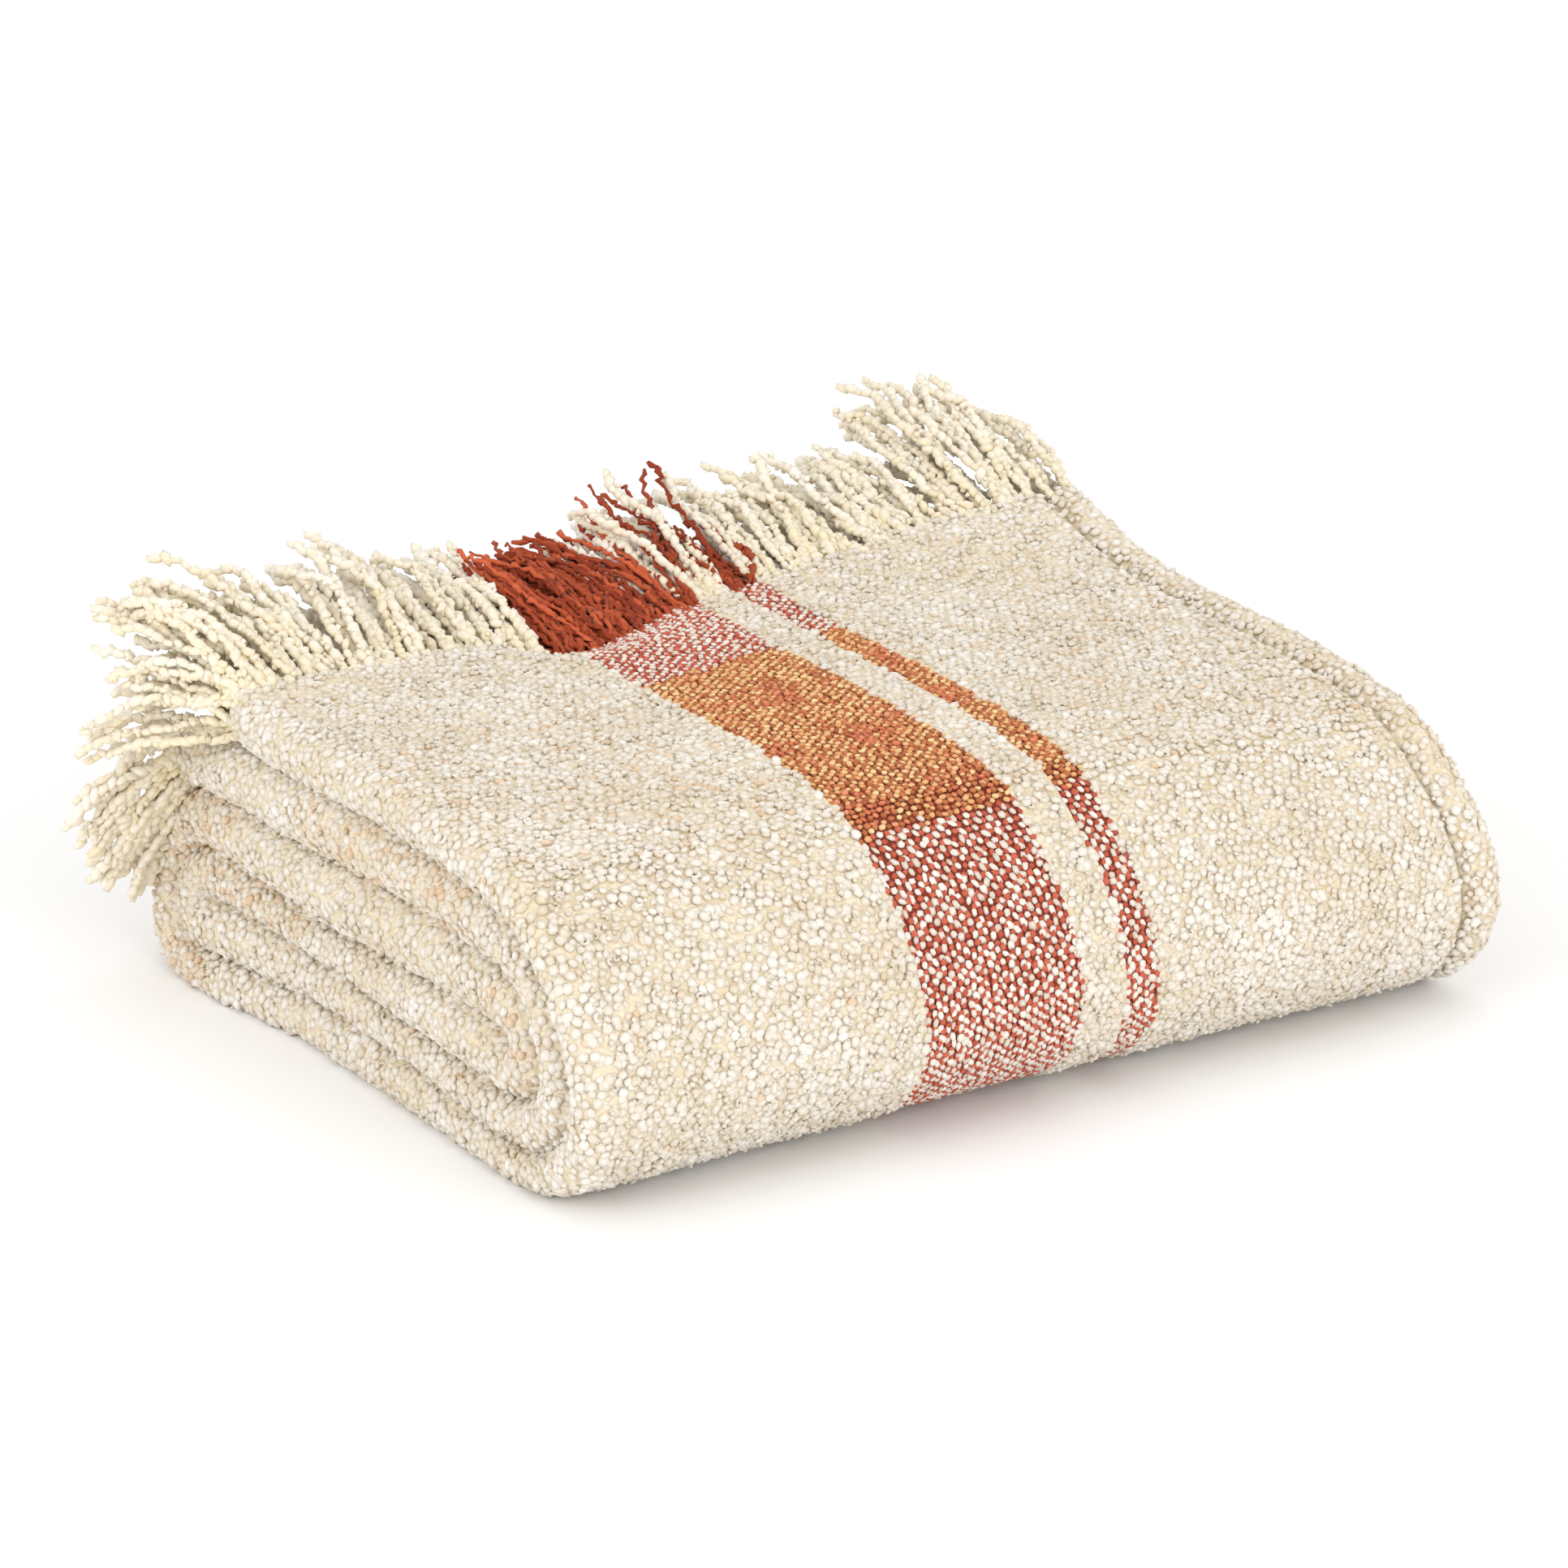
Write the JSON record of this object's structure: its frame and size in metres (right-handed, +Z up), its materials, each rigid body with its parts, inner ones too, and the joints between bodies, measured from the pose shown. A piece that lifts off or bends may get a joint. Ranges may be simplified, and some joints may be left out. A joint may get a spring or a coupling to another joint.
{
  "type": "folded fringed throw blanket",
  "caption": "Thick cream looped throw folded into a soft rectangular stack, with woven red and ochre stripes and a knobbly fringe at the back.",
  "frame": {"origin": "on the surface the blanket lies on, under the middle of the folded cloth", "axes": "+X across the folded stack from the closed rounded end to the end with the rolled fold, -Y towards the rounded front, +Y towards the fringe, +Z up"},
  "size_m": [0.4718, 0.3989, 0.165],
  "materials": {
    "boucle_cloth": "matte looped cream cloth with woven red, ochre and white stripes",
    "fringe_yarn": "matte knobbly cream yarn, with thin twisted red yarn behind the stripes"
  },
  "bodies": {
    "root": {"cloth": "boucle_cloth", "top_fringe": "fringe_yarn", "under_fringe": "fringe_yarn"}
  },
  "joints": []
}
